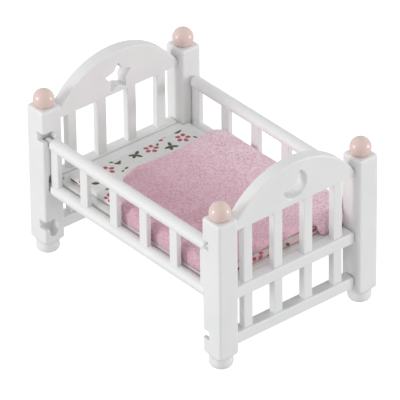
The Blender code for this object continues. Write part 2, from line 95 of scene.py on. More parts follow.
# End panels
PANEL_HALF_THICK = (PANEL_HIGH.x - PANEL_LOW.x) / 2
PANEL_X = (PANEL_LOW.x + PANEL_HIGH.x) / 2
PANEL_END_Y = POST_AXIS.y - POST_HALF_Y - GAP
PANEL_TOP = PANEL_HIGH.z
ARCH_RADIUS = 27.45 * MM
ARCH_BOTTOM = 45.8 * MM
ARCH_END_RADIUS = 1.2 * MM
MID_RAIL_Z = (22.0 * MM, 25.9 * MM)
LOW_RAIL_Z = (6.0 * MM, 9.9 * MM)
CROSS_RAIL_CORNER = 0.9 * MM
PANEL_SLATS = 4
SLAT_HALF_THICK = 1.2 * MM
SLAT_WIDTH = 3.4 * MM
SLAT_PITCH = 11.6 * MM
SLAT_ROUND = 0.35 * MM
MOULD_ROUND = 0.45 * MM
ARCH_ROUND = 0.55 * MM

# Their openings, in (y, z)
STAR_CENTRE = (0.0, 51.0 * MM)
STAR_TIP = 5.2 * MM
STAR_NOTCH = 2.9 * MM
STAR_POINTS = 5
STAR_ROUND = 0.45 * MM
MOON_CENTRE = (-0.25 * MM, 52.65 * MM)
MOON_RADIUS = 4.6 * MM
BITE_CENTRE = (-2.6 * MM, 55.2 * MM)
BITE_RADIUS = 4.1 * MM
MOON_TIP_TRIM = 12.0
MOON_TIP_BULGE = 0.35

# Side rails and pins
BAR_RADIUS = (RAIL_HIGH.y - RAIL_LOW.y) / 2
RAIL_AXIS_Y = -(RAIL_HIGH.y + RAIL_LOW.y) / 2
LOW_BAR_Z = (PIN_LOW.z + PIN_HIGH.z) / 2
TOP_BAR_Z = RAIL_HIGH.z - BAR_RADIUS
BAR_END_GAP = 0.3 * MM
BAR_END_X = POST_AXIS.x - POST_HALF_X - BAR_END_GAP
BAR_END_ROUND = 1.3 * MM
RAIL_SLATS = 6
RAIL_SLAT_WIDTH = 3.5 * MM
RAIL_SLAT_HALF_THICK = 0.9 * MM
RAIL_SLAT_PITCH = 14.0 * MM
RAIL_SLAT_ROUND = 0.3 * MM
PIN_RADIUS = (PIN_HIGH.z - PIN_LOW.z) / 2
PIN_REACH = 2.6 * MM
PIN_DEPTH = 2.2 * MM
PIN_ROUND = 0.3 * MM
PIN_SEGMENTS = 32
BORE_DEPTH = 2.4 * MM
BORE_GAP = 0.1 * MM
BORE_ROUND = 0.1 * MM

# Hook slots and pivot slots in the near posts
SLOT_HALF = 1.5 * MM
SLOT_DEPTH = 3.0 * MM
SLOT_FLOOR_GAP = 0.3 * MM
UPPER_CHANNEL_Z = 42.4 * MM
LOWER_CHANNEL_Z = 10.9 * MM
PIVOT_SLOT_TOP = 29.0 * MM
LIP_ROUND = 0.5 * MM
SLOT_RIM = 0.22 * MM

# Bed base: a plate with a skirt
SKIRT_THICK = 1.4 * MM
PLATE_THICK = 1.6 * MM
BASE_SIDE_EXTRA = 0.12 * MM
BASE_CORNER = 0.4 * MM
BASE_ROUND = 0.4 * MM

# Angles between faces, in degrees, below which an edge is shaded smooth
SMOOTH_ANGLE = 35
CLOTH_SMOOTH_ANGLE = 80


# Mesh helpers


def new_object(name, bm):
    bmesh.ops.recalc_face_normals(bm, faces=bm.faces)
    mesh = bpy.data.meshes.new(name)
    bm.to_mesh(mesh)
    bm.free()
    obj = bpy.data.objects.new(name, mesh)
    SCENE.collection.objects.link(obj)
    return obj


def shade(obj, angle):
    obj.data.shade_smooth()
    obj.data.set_sharp_from_angle(angle=math.radians(angle))


def apply_modifiers(obj):
    """Keep the evaluated mesh, so that no modifier and no helper is left."""
    evaluated = obj.evaluated_get(bpy.context.evaluated_depsgraph_get())
    mesh = bpy.data.meshes.new_from_object(evaluated)
    obj.modifiers.clear()
    obj.data = mesh


def combine(obj, helper, operation):
    """Boolean with a helper, which is then removed."""
    modifier = obj.modifiers.new("combine", "BOOLEAN")
    modifier.operation = operation
    modifier.solver = "EXACT"
    modifier.object = helper
    apply_modifiers(obj)
    bpy.data.objects.remove(helper)


def round_edges(obj, width, angle=38, segments=3):
    modifier = obj.modifiers.new("round", "BEVEL")
    modifier.width = width
    modifier.segments = segments
    modifier.limit_method = "ANGLE"
    modifier.angle_limit = math.radians(angle)
    modifier.miter_outer = "MITER_ARC"
    modifier.use_clamp_overlap = True
    apply_modifiers(obj)


def settle_normals(obj):
    """Smooth roundings between truly flat faces."""
    shade(obj, SMOOTH_ANGLE)
    modifier = obj.modifiers.new("normals", "WEIGHTED_NORMAL")
    modifier.keep_sharp = True
    modifier.weight = 80
    apply_modifiers(obj)


def arc(centre, radius, start, end, steps):
    """Points on a circle from the start to the end angle, in degrees."""
    angles = [math.radians(start + (end - start) * i / steps) for i in range(steps + 1)]
    return [(centre[0] + radius * math.cos(a), centre[1] + radius * math.sin(a)) for a in angles]


def round_corners(corners, radius, steps=4):
    """The outline through the corners, with each corner replaced by a fillet."""
    outline = []
    for i, corner in enumerate(corners):
        here = Vector(corner)
        back = (Vector(corners[i - 1]) - here).normalized()
        ahead = (Vector(corners[(i + 1) % len(corners)]) - here).normalized()
        for step in range(steps + 1):
            t = step / steps
            start = here + back * radius
            end = here + ahead * radius
            point = start * (1 - t) ** 2 + here * 2 * t * (1 - t) + end * t**2
            outline.append(tuple(point))
    return outline


def prism(outline, low, high, axis="X"):
    """Extrude an outline along X, from (y, z) points, or along Z, from (x, y) points."""
    bm = bmesh.new()
    if axis == "X":
        verts = [bm.verts.new((low, a, b)) for a, b in outline]
        shift = (high - low, 0.0, 0.0)
    else:
        verts = [bm.verts.new((a, b, low)) for a, b in outline]
        shift = (0.0, 0.0, high - low)
    face = bm.faces.new(verts)
    grown = bmesh.ops.extrude_face_region(bm, geom=[face])
    moved = [v for v in grown["geom"] if isinstance(v, bmesh.types.BMVert)]
    bmesh.ops.translate(bm, vec=shift, verts=moved)
    return bm


def box(low, high):
    bm = bmesh.new()
    bmesh.ops.create_cube(bm, size=1.0)
    low = Vector(low)
    high = Vector(high)
    bmesh.ops.scale(bm, vec=high - low, verts=bm.verts)
    bmesh.ops.translate(bm, vec=(low + high) / 2, verts=bm.verts)
    return bm


def turned(profile, segments):
    """Turn a profile of (radius, z) points, bottom to top, about Z. Its ends lie on the axis."""
    bm = bmesh.new()
    verts = [bm.verts.new((r, 0.0, z)) for r, z in profile]
    edges = [bm.edges.new(pair) for pair in zip(verts, verts[1:])]
    bmesh.ops.spin(
        bm,
        geom=verts + edges,
        cent=(0.0, 0.0, 0.0),
        axis=(0.0, 0.0, 1.0),
        angle=math.tau,
        steps=segments,
        use_merge=True,
    )
    bmesh.ops.remove_doubles(bm, verts=bm.verts, dist=0.001 * MM)
    return bm


def rod(start_x, end_x, radius, end_round, y, z, segments=48):
    """A round bar along X with rounded ends."""
    half = (end_x - start_x) / 2
    low = arc((radius - end_round, -half + end_round), end_round, -90, 0, 6)
    high = arc((radius - end_round, half - end_round), end_round, 0, 90, 6)
    bm = turned([(0.0, -half)] + low + high + [(0.0, half)], segments)
    place = Matrix.Translation(((start_x + end_x) / 2, y, z))
    bmesh.ops.transform(bm, matrix=place @ Matrix.Rotation(math.radians(90), 4, "Y"), verts=bm.verts)
    return bm


def loft(rings):
    """Join rings of points, bottom to top, and close both ends."""
    bm = bmesh.new()
    made = [[bm.verts.new(point) for point in ring] for ring in rings]
    for low, high in zip(made, made[1:]):
        for i in range(len(low)):
            j = (i + 1) % len(low)
            bm.faces.new((low[i], low[j], high[j], high[i]))
    bm.faces.new(made[-1])
    bm.faces.new(reversed(made[0]))
    return bm


# Materials


class Nodes:
    """Small helpers to write a node tree as code."""

    def __init__(self, name):
        self.material = bpy.data.materials.new(name)
        self.material.use_nodes = True
        self.tree = self.material.node_tree
        self.shader = self.tree.nodes["Principled BSDF"]

    def add(self, kind, inputs=None, **settings):
        node = self.tree.nodes.new("ShaderNode" + kind)
        for key, value in settings.items():
            setattr(node, key, value)
        for key, value in (inputs or {}).items():
            self.give(node.inputs[key], value)
        return node

    def give(self, socket, value):
        if isinstance(value, bpy.types.NodeSocket):
            self.tree.links.new(value, socket)
        else:
            socket.default_value = value

    def math(self, operation, a, b=0.0, c=0.0):
        return self.add("Math", {0: a, 1: b, 2: c}, operation=operation).outputs[0]

    def noise(self, vector, scale, detail=2.0, roughness=0.5):
        inputs = {"Vector": vector, "Scale": scale, "Detail": detail, "Roughness": roughness}
        return self.add("TexNoise", inputs).outputs["Fac"]

    def ramp(self, factor, stops):
        node = self.add("ValToRGB", {"Fac": factor})
        elements = node.color_ramp.elements
        while len(elements) < len(stops):
            elements.new(0.5)
        for element, (place, colour) in zip(elements, stops):
            element.position = place
            element.color = (*colour, 1.0)
        return node.outputs["Color"]

    def mix(self, factor, a, b, blend="MIX"):
        node = self.add("Mix", {0: factor, 6: a, 7: b}, data_type="RGBA", blend_type=blend)
        return node.outputs[2]

    def span(self, value, low, high, to_low, to_high):
        inputs = {0: value, 1: low, 2: high, 3: to_low, 4: to_high}
        return self.add("MapRange", inputs).outputs[0]

    def bump(self, height, distance, strength=1.0, under=None):
        inputs = {"Height": height, "Distance": distance, "Strength": strength}
        if under is not None:
            inputs["Normal"] = under
        return self.add("Bump", inputs).outputs[0]

    def place(self):
        return self.add("TexCoord").outputs["Object"]

    def finish(self, colour, roughness, normal=None, **constants):
        self.give(self.shader.inputs["Base Color"], colour)
        self.give(self.shader.inputs["Roughness"], roughness)
        if normal is not None:
            self.give(self.shader.inputs["Normal"], normal)
        for key, value in constants.items():
            self.shader.inputs[key.replace("_", " ")].default_value = value
        return self.material


def moulded_white():
    """White styrene: a faint flow pattern, a spark-eroded mould grain and soft sink waves."""
    n = Nodes("moulded_white")
    at = n.place()
    flow = n.noise(at, 90.0, 3.0)
    grain = n.noise(at, 5200.0, 2.0)
    waves = n.noise(at, 260.0, 1.0)
    colour = n.ramp(flow, [(0.3, (0.835, 0.838, 0.832)), (0.7, (0.868, 0.868, 0.858))])
    roughness = n.span(n.math("ADD", n.math("MULTIPLY", grain, 0.6), flow), 0.5, 1.1, 0.34, 0.44)
    soft = n.bump(waves, 0.02 * MM, 0.35)
    normal = n.bump(grain, 0.004 * MM, 0.5, soft)
    n.shader.inputs["Subsurface Radius"].default_value = (1.0, 0.95, 0.9)
    return n.finish(
        colour, roughness, normal, IOR=1.5, Coat_Weight=0.1, Coat_Roughness=0.2,
        Subsurface_Weight=0.3, Subsurface_Scale=0.7 * MM,
    )


def polished_pink():
    """Pale pink plastic with a high polish, and a faint swirl of the pigment."""
    n = Nodes("polished_pink")
    at = n.place()
    swirl = n.noise(at, 420.0, 3.0, 0.6)
    fine = n.noise(at, 4200.0, 2.0)
    colour = n.ramp(swirl, [(0.3, (0.80, 0.605, 0.555)), (0.7, (0.83, 0.64, 0.59))])
    roughness = n.span(fine, 0.3, 0.7, 0.24, 0.32)
    normal = n.bump(swirl, 0.01 * MM, 0.2)
    return n.finish(colour, roughness, normal, IOR=1.5, Coat_Weight=0.25, Coat_Roughness=0.18)


# The print, in the cloth's own millimetres: flowers and sprigs are (x, y, turn), leaves have a length
# too. The repeat ends at FOOT_SIDE. OWN_PETALS, OWN_LEAVES and the dark line along the near edge, partly
# painted crease shade and partly a printed stem, are single marks, over the repeat and beyond it. Towards
# the foot end the cloth is tinted pink under the blanket's foot edge: painted pink bounce light from the
# blanket.
TILE_LOW = (-34.0, -28.0)
TILE_HIGH = (-22.5, 25.0)
TILE_STEP_Y = 2.2
FOOT_SIDE = 34.0
FLOWERS = [
    (-27.7, 15.7, -3), (-29.3, 4.5, 0), (-33.1, 10.2, -10), (-28.5, -13.2, 20), (-27.8, -24.2, 10),
]
SPRIGS = [(-26.4, 9.8, 49), (-29.7, -1.2, 18)]
LEAVES = [
    (-31.7, 17.0, 108, 1.5), (-25.7, 18.9, 30, 0.8), (-30.0, 7.5, 140, 0.75), (-31.6, -9.5, 30, 0.9),
    (-29.6, -8.4, 50, 1.1), (-29.9, -7.5, 120, 0.9), (-25.7, -8.1, 100, 0.8), (-25.1, -10.0, 100, 0.6),
    (-25.3, -20.5, 48, 1.2),
]
OWN_PETALS = [(36.0, -7.0, 60), (37.1, -10.0, 20), (37.5, -7.6, 95), (36.9, 13.3, 85)]
OWN_LEAVES = [
    (38.3, -4.6, 60, 0.6), (37.6, 2.9, 40, 0.9), (37.1, 12.2, 80, 0.8), (38.0, -16.4, 90, 0.9),
    (-20.5, -19.8, 80, 0.7), (-14.0, -24.6, 20, 1.0),
]
# A dark olive line along the mattress's near edge: partly painted crease shade, partly a printed stem
CREASE_SHADE_PLACE = (-33.2, -24.9)
CREASE_SHADE_SIZE = (3.6, 0.3)
PETALS = 5
PETAL_REACH = 1.62
PETAL_SIZE = (0.88, 0.72)
LEAF_SHAPE = 0.55
SPRIG_ARMS = ((0, 1.2), (107, 1.3), (221, 1.1), (281, 1.05))
SPRIG_SIZE = (1.2, 0.58)
MARK_EDGE = (0.85, 1.13)
INK_COVER = 0.97
# Painted pink bounce light: the cloth turns pink across this span in x, under the blanket's foot edge
PINK_BOUNCE_X = (35.2, 36.6)
THREAD_PITCH = 0.24


def repeat_marks():
    """Ellipses (x, y, turn, length, width) of the repeat's petals, and of its sprigs and leaves."""
    petals = []
    greens = []
    for x, y, turn in FLOWERS:
        for i in range(PETALS):
            angle = math.radians(turn + 360 / PETALS * i)
            petal_x = x + PETAL_REACH * math.cos(angle)
            petal_y = y + PETAL_REACH * math.sin(angle)
            petals.append((petal_x, petal_y, angle, *PETAL_SIZE))
    for x, y, turn in SPRIGS:
        for bearing, reach in SPRIG_ARMS:
            angle = math.radians(turn + bearing)
            arm_x = x + reach * math.cos(angle)
            arm_y = y + reach * math.sin(angle)
            greens.append((arm_x, arm_y, angle, *SPRIG_SIZE))
    return petals, greens + leaf_marks(LEAVES)


def leaf_marks(leaves):
    return [(x, y, math.radians(turn), length, LEAF_SHAPE * length) for x, y, turn, length in leaves]


def own_marks():
    """The single petals, and the single leaves with the dark line along the near edge, partly painted
    crease shade and partly a printed stem.
    """
    petals = [(x, y, math.radians(turn), *PETAL_SIZE) for x, y, turn in OWN_PETALS]
    return petals, leaf_marks(OWN_LEAVES) + [(*CREASE_SHADE_PLACE, 0.0, *CREASE_SHADE_SIZE)]


def nearest_mark(n, at, marks):
    """How far a point is from the nearest ellipse, where 1 is on its edge."""
    nearest = None
    for x, y, angle, length, width in marks:
        inputs = {"Vector": at, "Location": (x, y, 0.0), "Rotation": (0.0, 0.0, angle)}
        inputs["Scale"] = (length, width, 1.0)
        local = n.add("Mapping", inputs, vector_type="TEXTURE").outputs[0]
        far = n.add("VectorMath", {0: local}, operation="LENGTH").outputs["Value"]
        nearest = far if nearest is None else n.math("MINIMUM", nearest, far)
    return nearest


def print_mask(n, cloth, tile, marks, single_marks):
    """Where the ink is, of the repeat, which stops at the foot end, and of the single marks."""
    x = n.add("SeparateXYZ", {0: cloth}).outputs[0]
    repeats = n.math("LESS_THAN", x, FOOT_SIDE)
    repeat = n.span(nearest_mark(n, tile, marks), *MARK_EDGE, 1.0, 0.0)
    own = n.span(nearest_mark(n, cloth, single_marks), *MARK_EDGE, 1.0, 0.0)
    return n.math("MAXIMUM", n.math("MULTIPLY", repeat, repeats), own)


def tile_place(n):
    """The cloth's unrolled coordinates in millimetres, brought into the repeat."""
    cloth = n.add("Attribute", attribute_name="cloth").outputs["Vector"]
    axes = n.add("SeparateXYZ", {0: cloth})
    x, y = axes.outputs[0], axes.outputs[1]
    width = TILE_HIGH[0] - TILE_LOW[0]
    row = n.math("FLOOR", n.math("DIVIDE", n.math("SUBTRACT", x, TILE_LOW[0]), width))
    shifted = n.math("SUBTRACT", y, n.math("MULTIPLY", row, TILE_STEP_Y))
    u = n.math("WRAP", x, TILE_HIGH[0], TILE_LOW[0])
    v = n.math("WRAP", shifted, TILE_HIGH[1], TILE_LOW[1])
    return cloth, n.add("CombineXYZ", {0: u, 1: v, 2: 0.0}).outputs[0]


def printed_cotton():
    """White plain-weave cotton with small printed flowers and leaves."""
    n = Nodes("printed_cotton")
    cloth, tile = tile_place(n)
    wobble = n.add("TexNoise", {"Vector": cloth, "Scale": 1.6, "Detail": 3.0}).outputs["Color"]
    offset = n.add("VectorMath", {0: wobble, 1: (0.5, 0.5, 0.5)}, operation="SUBTRACT").outputs[0]
    small = n.add("VectorMath", {0: offset, "Scale": 0.4}, operation="SCALE").outputs[0]
    tile = n.add("VectorMath", {0: tile, 1: small}, operation="ADD").outputs[0]
    petals, greens = repeat_marks()
    own_petals, own_greens = own_marks()
    petal = print_mask(n, cloth, tile, petals, own_petals)
    green = print_mask(n, cloth, tile, greens, own_greens)
    # Painted pink bounce light from the blanket, towards the foot end
    painted_bounce = n.span(n.add("SeparateXYZ", {0: cloth}).outputs[0], *PINK_BOUNCE_X, 0.0, 1.0)
    threads = weave(n, cloth)
    slub = n.noise(cloth, 0.9, 3.0)
    ground = n.ramp(slub, [(0.3, (0.79, 0.80, 0.775)), (0.7, (0.845, 0.85, 0.83))])
    ink = n.noise(cloth, 3.2, 2.0)
    ground = n.mix(painted_bounce, ground, (0.70, 0.50, 0.50, 1.0))
    red = n.ramp(ink, [(0.3, (0.44, 0.025, 0.065)), (0.7, (0.60, 0.085, 0.14))])
    leaf = n.ramp(ink, [(0.3, (0.03, 0.038, 0.008)), (0.7, (0.09, 0.10, 0.03))])
    colour = n.mix(n.math("MULTIPLY", petal, INK_COVER), ground, red)
    colour = n.mix(n.math("MULTIPLY", green, INK_COVER), colour, leaf)
    between_threads = n.ramp(threads, [(0.0, (0.5, 0.5, 0.5)), (1.0, (1.0, 1.0, 1.0))])
    colour = n.mix(0.10, colour, between_threads, "MULTIPLY")
    normal = n.bump(threads, 0.03 * MM, 0.5, n.bump(slub, 0.12 * MM, 0.4))
    roughness = n.span(threads, 0.0, 1.0, 0.92, 0.8)
    return n.finish(colour, roughness, normal, Sheen_Weight=0.15, Sheen_Roughness=0.5)


def weave(n, cloth):
    """Plain weave: two crossed sets of threads."""
    axes = n.add("SeparateXYZ", {0: cloth})
    turns = math.tau / THREAD_PITCH
    warp = n.math("SINE", n.math("MULTIPLY", axes.outputs[0], turns))
    weft = n.math("SINE", n.math("MULTIPLY", axes.outputs[1], turns))
    return n.span(n.math("MULTIPLY", warp, weft), -1.0, 1.0, 0.0, 1.0)


FLEECE_TONES = [(0.405, (0.73, 0.42, 0.50)), (0.5, (0.97, 0.71, 0.80)), (0.595, (1.0, 0.91, 0.97))]
FLEECE_PATCH = (0.97, 0.74, 0.82, 1.0)
FLEECE_SPECK = (0.46, 0.26, 0.31, 1.0)
# The span and the wander of the painted shade and light across the blanket, in metres
PAINTED_SHADE_REACH = 27.0 * MM
PAINTED_SHADE_WANDER = 12.0 * MM
# Painted shade and light across the blanket, from the near edge to the far one: darker near the near
# rail, where the top bar's shadow falls, lighter towards the far edge
PAINTED_SHADE_BANDS = [
    (0.03, (0.76, 0.64, 0.68)), (0.12, (0.73, 0.60, 0.64)), (0.24, (0.715, 0.58, 0.61)),
    (0.34, (0.76, 0.63, 0.66)), (0.45, (0.84, 0.72, 0.75)), (0.6, (0.88, 0.77, 0.80)),
    (0.75, (0.93, 0.87, 0.89)), (0.95, (1.0, 1.0, 1.0)),
]


def pink_fleece():
    """Brushed fleece: matted fibre ends, pale tips over a deeper ground, and painted shade that darkens
    it near the near rail and painted light that lightens it towards the far edge.
    """
    n = Nodes("pink_fleece")
    at = n.place()
    fibre = n.noise(at, 2900.0, 3.0, 0.7)
    tuft = n.noise(at, 1300.0, 3.0, 0.65)
    cloud = n.noise(at, 120.0, 2.0)
    mixed = n.math("ADD", n.math("MULTIPLY", fibre, 0.65), n.math("MULTIPLY", tuft, 0.35))
    body = n.ramp(mixed, FLEECE_TONES)
    colour = n.mix(n.span(cloud, 0.35, 0.65, 0.0, 0.2), body, FLEECE_PATCH)
    specks = n.add("TexVoronoi", {"Vector": at, "Scale": 700.0}).outputs["Distance"]
    speck = n.span(specks, 0.06, 0.2, 0.6, 0.0)
    specks_here = n.math("MULTIPLY", speck, n.span(cloud, 0.5, 0.6, 0.0, 1.0))
    colour = n.mix(specks_here, colour, FLEECE_SPECK)
    # Painted shade near the near rail and painted light towards the far edge, multiplied into the colour
    across = n.add("SeparateXYZ", {0: at}).outputs[1]
    wander = n.math("MULTIPLY", n.math("SUBTRACT", cloud, 0.5), PAINTED_SHADE_WANDER)
    band = n.span(n.math("ADD", across, wander), -PAINTED_SHADE_REACH, PAINTED_SHADE_REACH, 0.0, 1.0)
    painted_shade = n.ramp(band, PAINTED_SHADE_BANDS)
    colour = n.mix(1.0, colour, painted_shade, "MULTIPLY")
    tufted = n.bump(tuft, 0.16 * MM, 0.7)
    normal = n.bump(fibre, 0.10 * MM, 0.8, tufted)
    roughness = n.span(fibre, 0.3, 0.7, 0.9, 1.0)
    return n.finish(
        colour, roughness, normal, Sheen_Weight=0.6, Sheen_Roughness=0.4,
        Sheen_Tint=(1.0, 0.9, 0.93, 1.0), Specular_IOR_Level=0.1,
    )


def pale_floor():
    """A white floor that shows brighter to the camera than the light it gives back."""
    n = Nodes("pale_floor")
    at = n.place()
    cloudy = n.noise(at, 6.0, 2.0)
    colour = n.ramp(cloudy, [(0.3, (0.33, 0.33, 0.33)), (0.7, (0.34, 0.34, 0.34))])
    material = n.finish(colour, n.span(cloudy, 0.3, 0.7, 0.8, 0.85))
    n.shader.inputs["Emission Color"].default_value = (1.0, 1.0, 1.0, 1.0)
    seen = n.add("LightPath").outputs["Is Camera Ray"]
    glow = n.span(seen, 0.0, 1.0, FLOOR_BOUNCE, FLOOR_SEEN)
    n.give(n.shader.inputs["Emission Strength"], glow)
    return material


WHITE = moulded_white()
PINK = polished_pink()
COTTON = printed_cotton()
FLEECE = pink_fleece()


def install(obj, material, nodes, body):
    """Give a finished piece its material and its body, and hide the CAD nodes that it replaces."""
    obj.data.materials.clear()
    obj.data.materials.append(material)
    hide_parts(*nodes)
    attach(obj, body)


# Posts and knobs


def rectangle_point(angle, half_x, half_y, corner):
    """The point of a rounded rectangle in a direction from its centre, found by halving."""
    step_x, step_y = math.cos(angle), math.sin(angle)
    low, high = 0.0, half_x + half_y
    for _ in range(HALVINGS):
        middle = (low + high) / 2
        over_x = max(abs(middle * step_x) - (half_x - corner), 0.0)
        over_y = max(abs(middle * step_y) - (half_y - corner), 0.0)
        inside = math.hypot(over_x, over_y) < corner
        low, high = (middle, high) if inside else (low, middle)
    return low * step_x, low * step_y


def post_angles():
    """Directions round the post, close together at its rounded corners."""
    corner = math.atan2(POST_HALF_Y - POST_CORNER / 2, POST_HALF_X - POST_CORNER / 2)
    first = [corner + math.radians(turn) for turn in CORNER_TURNS]
    second = [math.pi - a for a in reversed(first)]
    half = [0.0] + first + [math.pi / 2] + second
    return half + [a + math.pi for a in half]


def post_ring(z, inset, corner, roundness=0.0):
    """One ring of the post: a rounded rectangle, drawn towards a circle by the roundness."""
    ring = []
    for angle in post_angles():
        x, y = rectangle_point(angle, POST_HALF_X - inset, POST_HALF_Y - inset, corner)
        reach = math.hypot(x, y)
        wanted = reach + (min(NECK_RADIUS, reach) - reach) * roundness
        ring.append((x * wanted / reach, y * wanted / reach, z))
    return ring


def post_form():
    """A bun foot that runs into a square shank, and a rounded crown."""
    rings = []
    angles = post_angles()
    for radius, z in FOOT_PROFILE:
        rings.append([(radius * MM * math.cos(a), radius * MM * math.sin(a), z * MM) for a in angles])
    for rise, roundness in NECK_STEPS:
        rings.append(post_ring(POST_SHANK + rise * MM, 0.0, POST_CORNER, roundness))
    for step in range(CROWN_STEPS + 1):
        turn = math.radians(90 * step / CROWN_STEPS)
        inset = POST_CROWN * (1 - math.cos(turn))
        corner = POST_CORNER - CROWN_SHARPENING * inset
        rings.append(post_ring(POST_TOP - POST_CROWN * (1 - math.sin(turn)), inset, corner))
    return loft(rings)


def hook_outline(channel_z, pin_rest_z):
    """A channel in from the outer face, then a slot down to where the pin rests."""
    outer_y = -(POST_AXIS.y + POST_HALF_Y) - REACH
    floor_z = pin_rest_z - PIN_RADIUS - SLOT_FLOOR_GAP + SLOT_HALF
    lip = (-RAIL_AXIS_Y - SLOT_HALF - LIP_ROUND, channel_z - SLOT_HALF - LIP_ROUND)
    outline = [(outer_y, channel_z + SLOT_HALF)]
    outline += arc((-RAIL_AXIS_Y, channel_z), SLOT_HALF, 90, 0, 8)
    outline += arc((-RAIL_AXIS_Y, floor_z), SLOT_HALF, 0, -180, 14)
    outline += arc(lip, LIP_ROUND, 0, 90, 6)
    outline += [(outer_y, channel_z - SLOT_HALF)]
    return outline


def pivot_slot_outline():
    """A closed upright slot, in which the lower pin rises as the rail is lifted."""
    low = LOW_BAR_Z - PIN_RADIUS - SLOT_FLOOR_GAP + SLOT_HALF
    high = PIVOT_SLOT_TOP - SLOT_HALF
    outline = arc((-RAIL_AXIS_Y, high), SLOT_HALF, 180, 0, 14)
    outline += arc((-RAIL_AXIS_Y, low), SLOT_HALF, 0, -180, 14)
    return outline


def end_name(end):
    return "foot" if end > 0 else "head"


def side_name(side):
    return "far" if side > 0 else "near"


def make_post(end, side):
    """A corner post. The near ones have the slots of the folding rail."""
    post = new_object("{}_{}_post".format(end_name(end), side_name(side)), post_form())
    post.data.transform(Matrix.Translation((end * POST_AXIS.x, side * POST_AXIS.y, 0.0)))
    if side < 0:
        inner_x = POST_AXIS.x - POST_HALF_X
        xs = sorted((end * (inner_x - REACH), end * (inner_x + SLOT_DEPTH)))
        fold_pin_z = 2 * LOW_BAR_Z - TOP_BAR_Z
        outlines = (
            hook_outline(UPPER_CHANNEL_Z, TOP_BAR_Z),
            pivot_slot_outline(),
            hook_outline(LOWER_CHANNEL_Z, fold_pin_z),
        )
        for outline in outlines:
            combine(post, new_object("slot", prism(outline, xs[0], xs[1])), "DIFFERENCE")
        round_edges(post, SLOT_RIM, angle=50)
    settle_normals(post)
    cad_name = "post_{}_{}".format(end_name(end), side_name(side))
    install(post, WHITE, [cad_name], "root")


def make_knob(end, side):
    """A ball that sits in the post's crown, on a spigot."""
    seat_z = POST_TOP - KNOB_CENTRE_Z + SEAT_RISE
    seat_angle = math.degrees(math.asin(seat_z / KNOB_RADIUS))
    spigot_z = seat_z - SPIGOT_LENGTH
    profile = [(0.0, spigot_z), (SPIGOT_RADIUS, spigot_z), (SPIGOT_RADIUS, seat_z)]
    profile += arc((0.0, 0.0), KNOB_RADIUS, seat_angle, 90, 40)[:-1] + [(0.0, KNOB_RADIUS)]
    knob = new_object("{}_{}_knob".format(end_name(end), side_name(side)), turned(profile, 72))
    place = (end * POST_AXIS.x, side * POST_AXIS.y, KNOB_CENTRE_Z)
    knob.data.transform(Matrix.Translation(place))
    shade(knob, SMOOTH_ANGLE)
    cad_name = "knob_{}_{}".format(end_name(end), side_name(side))
    install(knob, PINK, [cad_name], "root")


# End panels


def arch_outline():
    """The solid top of an end panel: a circle's arc over a straight lower edge."""
    centre_z = PANEL_TOP - ARCH_RADIUS
    end_angle = math.degrees(math.acos(PANEL_END_Y / ARCH_RADIUS))
    outline = arc((0.0, centre_z), ARCH_RADIUS, end_angle, 180 - end_angle, 72)
    corner_y = PANEL_END_Y - ARCH_END_RADIUS
    corner_z = ARCH_BOTTOM + ARCH_END_RADIUS
    outline += arc((-corner_y, corner_z), ARCH_END_RADIUS, 180, 270, 8)
    outline += arc((corner_y, corner_z), ARCH_END_RADIUS, 270, 360, 8)
    return outline


def star_outline():
    """A star with rounded tips and notches."""
    corners = []
    for i in range(2 * STAR_POINTS):
        radius = STAR_TIP if i % 2 == 0 else STAR_NOTCH
        angle = math.radians(90 + 180 / STAR_POINTS * i)
        y = STAR_CENTRE[0] + radius * math.cos(angle)
        z = STAR_CENTRE[1] + radius * math.sin(angle)
        corners.append((y, z))
    return round_corners(corners, STAR_ROUND, steps=5)


def moon_outline():
    """A crescent: the outer circle less the bite, with blunt tips."""
    centre = Vector(MOON_CENTRE)
    bite = Vector(BITE_CENTRE)
    between = bite - centre
    along = (MOON_RADIUS**2 - BITE_RADIUS**2 + between.length**2) / (2 * between.length)
    turn = math.degrees(math.acos(along / MOON_RADIUS))
    back_turn = math.degrees(math.acos((between.length - along) / BITE_RADIUS))
    heading = math.degrees(math.atan2(between.y, between.x))
    turn += MOON_TIP_TRIM
    back_turn -= MOON_TIP_TRIM
    outer = arc(centre, MOON_RADIUS, heading + turn, heading + 360 - turn, 48)
    inner = arc(bite, BITE_RADIUS, heading + 180 + back_turn, heading + 180 - back_turn, 30)
    return outer + [moon_tip(outer[-1], inner[0])] + inner + [moon_tip(inner[-1], outer[0])]


def moon_tip(start, end):
    """The point that makes a blunt tip round, going from the start to the end."""
    ahead = Vector(end) - Vector(start)
    return tuple((Vector(start) + Vector(end)) / 2 + MOON_TIP_BULGE * Vector((ahead.y, -ahead.x)))


